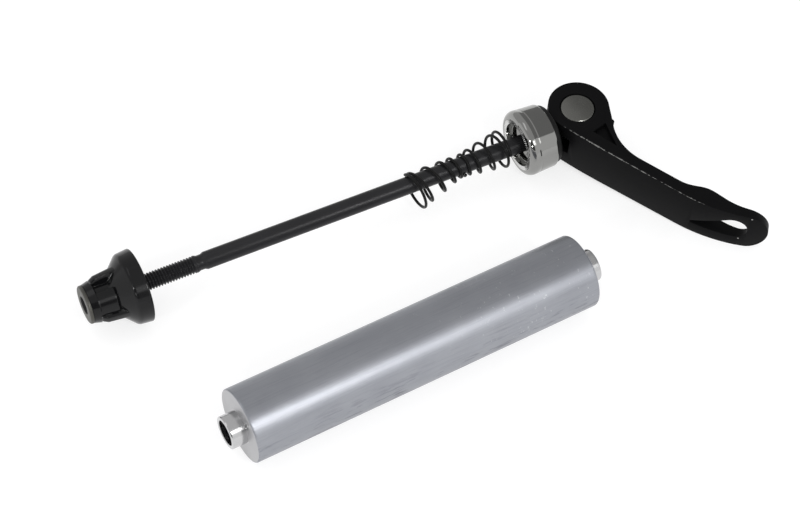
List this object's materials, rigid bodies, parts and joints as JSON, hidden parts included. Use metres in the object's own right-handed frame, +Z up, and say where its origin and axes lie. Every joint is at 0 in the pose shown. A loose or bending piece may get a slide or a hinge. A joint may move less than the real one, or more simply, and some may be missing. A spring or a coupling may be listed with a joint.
{
  "type": "axle adapter with quick-release skewer",
  "caption": "Stepped metal sleeve that fits a large-bore bicycle hub to narrow fork ends, with its quick-release skewer: rod, cam lever, cup, coned springs and nut.",
  "frame": {"origin": "middle of the sleeve on its axis; the surface everything lies on is at z = -0.010", "axes": "+X along the sleeve's axis towards the lever end, +Y from the sleeve towards the skewer, +Z up"},
  "size_m": [0.1716, 0.0742, 0.0201],
  "materials": {
    "turned_aluminium": "fine turned, satin",
    "black_steel": "black oxide, satin",
    "bare_steel": "plain ground",
    "black_anodised": "black, satin",
    "polished_steel": "polished",
    "black_washer_plastic": "matt",
    "spring_steel": "black oxide",
    "plated_insert": "dull plated",
    "black_grip": "smooth moulded"
  },
  "bodies": {
    "rod_and_sleeve": {"adapter_sleeve": "turned_aluminium", "skewer_rod": "black_steel", "pivot_pin": "bare_steel"},
    "cam_lever": {"lever": "black_anodised"},
    "clamp": {"clamp_cup": "polished_steel", "cam_washer": "black_washer_plastic"},
    "inner_coil": {"inner_spring": "spring_steel"},
    "outer_coil": {"outer_spring": "spring_steel"},
    "nut_core": {"nut_insert": "plated_insert"},
    "nut_grip": {"nut_body": "black_grip"}
  },
  "joints": [
    {"name": "lever_pivot", "type": "hinge", "parent": "rod_and_sleeve", "child": "cam_lever", "pos_m": [0.077, 0.0438, 0], "axis": [-0.0046, -0.0714, 0.9974], "range_deg": [-25, 150]},
    {"name": "cup_slide", "type": "slide", "parent": "rod_and_sleeve", "child": "clamp", "axis": [0.998, -0.0637, 0], "range_m": [-0.00101, 0.00018]},
    {"name": "nut_spin", "type": "hinge", "parent": "nut_core", "child": "nut_grip", "pos_m": [-0.05161, 0.052, 0], "axis": [0.998, -0.0637, 0], "range_deg": [-2880, 6120]},
    {"name": "nut_advance", "type": "slide", "parent": "rod_and_sleeve", "child": "nut_core", "axis": [0.998, -0.0637, 0], "range_m": [-0.0065, 0.0137]},
    {"name": "inner_spring_slide", "type": "slide", "parent": "rod_and_sleeve", "child": "inner_coil", "axis": [0.998, -0.0637, 0], "range_m": [-0.025, 0.0024]},
    {"name": "outer_spring_slide", "type": "slide", "parent": "inner_coil", "child": "outer_coil", "axis": [0.998, -0.0637, 0], "range_m": [-0.035, 0]}
  ],
  "couplings": [
    {"joint": "cup_slide", "follows": "lever_pivot", "m_per_rad": -0.00038197},
    {"joint": "nut_advance", "follows": "nut_spin", "m_per_rad": 0.00012732}
  ]
}
